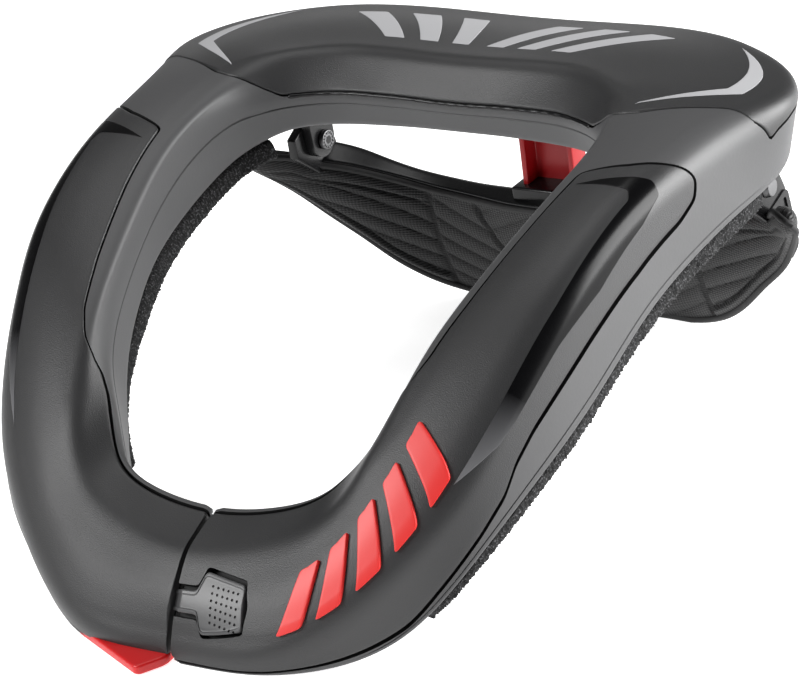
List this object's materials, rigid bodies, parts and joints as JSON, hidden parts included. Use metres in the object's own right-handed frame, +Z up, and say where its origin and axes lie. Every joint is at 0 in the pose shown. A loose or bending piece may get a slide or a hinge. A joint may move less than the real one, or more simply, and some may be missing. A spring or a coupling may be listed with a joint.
{
  "type": "motocross neck brace",
  "caption": "Rigid ring collar worn round a rider's neck, split at the chest, with moulded pads, felt strips below its arms and a padded back yoke.",
  "frame": {"origin": "on the floor below the middle of the part's box", "axes": "+Z up, +Y from the chest towards the back, +X to the wearer's left"},
  "size_m": [0.3048, 0.3346, 0.1496],
  "materials": {
    "shell_foam": "moulded charcoal foam skin, satin",
    "pad_skin": "moulded soft pad, fine grain, matte",
    "felt": "salt and pepper loop felt",
    "latch_rubber": "moulded rubber with small dots",
    "red_rubber": "red moulded rubber, satin",
    "black_nylon": "injection moulded nylon, glossy",
    "red_nylon": "red injection moulded nylon, glossy",
    "mesh_fabric": "ribbed textile mesh over foam",
    "bolt_steel": "turned, satin"
  },
  "bodies": {
    "root": {"collar_base": "shell_foam", "rear_pad": "pad_skin", "arm_pad_left": "pad_skin", "arm_pad_right": "pad_skin", "felt_left": "felt", "felt_right": "felt", "latch_tongue": "latch_rubber", "pull_tab": "red_rubber", "red_bar_1": "red_rubber", "red_bar_2": "red_rubber", "red_bar_3": "red_rubber", "red_bar_4": "red_rubber", "red_bar_5": "red_rubber", "yoke_frame": "black_nylon", "yoke_pad": "mesh_fabric", "yoke_spacer": "red_nylon", "pivot_lug_left": "black_nylon", "pivot_lug_right": "black_nylon", "pivot_bolt_left": "bolt_steel", "pivot_bolt_right": "bolt_steel"}
  },
  "joints": []
}
